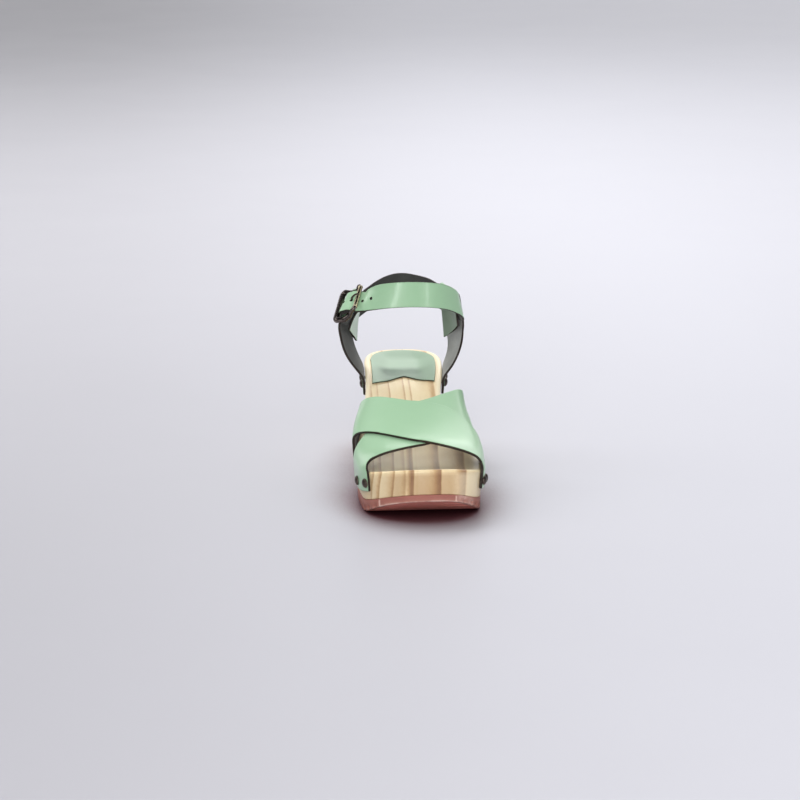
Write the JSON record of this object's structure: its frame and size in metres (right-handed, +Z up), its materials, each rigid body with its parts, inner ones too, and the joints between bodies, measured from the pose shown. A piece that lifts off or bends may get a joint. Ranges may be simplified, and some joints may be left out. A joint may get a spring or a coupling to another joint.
{
  "type": "sandal",
  "caption": "Heeled clog sandal with a carved wooden sole, crossed leather straps over the toes and a buckled ankle strap, right foot.",
  "frame": {"origin": "centre of the object's box, on the floor plane under the heel and forefoot", "axes": "+Z up, -Y towards the toe, +Y towards the heel, +X towards the inner (medial) side of the foot"},
  "size_m": [0.1092, 0.25, 0.1519],
  "materials": {
    "wood": "pale sanded wood with brown grain stripes, clear satin lacquer",
    "leather": "smooth mint green leather with a soft gloss, dark edges and a grey flesh side",
    "pad_leather": "smooth mint green leather, satin",
    "rubber": "matt salmon red rubber",
    "pewter": "dark antique metal, polished on its edges",
    "nail": "dark domed nail heads"
  },
  "bodies": {
    "root": {"wood_sole": "wood", "outsole_forefoot": "rubber", "heel_top_lift": "rubber", "heel_pad": "pad_leather", "vamp_cross_straps": "leather", "side_strap_lateral": "leather", "side_strap_medial": "leather", "ankle_strap": "leather", "buckle_frame": "pewter", "buckle_prong": "pewter", "nail_lateral_rear_1": "nail", "nail_lateral_rear_2": "nail", "nail_lateral_front_1": "nail", "nail_lateral_front_2": "nail", "nail_medial_rear_1": "nail", "nail_medial_rear_2": "nail", "nail_medial_front_1": "nail", "nail_medial_front_2": "nail", "nail_heel_lateral_1": "nail", "nail_heel_lateral_2": "nail", "nail_heel_medial_1": "nail", "nail_heel_medial_2": "nail"}
  },
  "joints": []
}
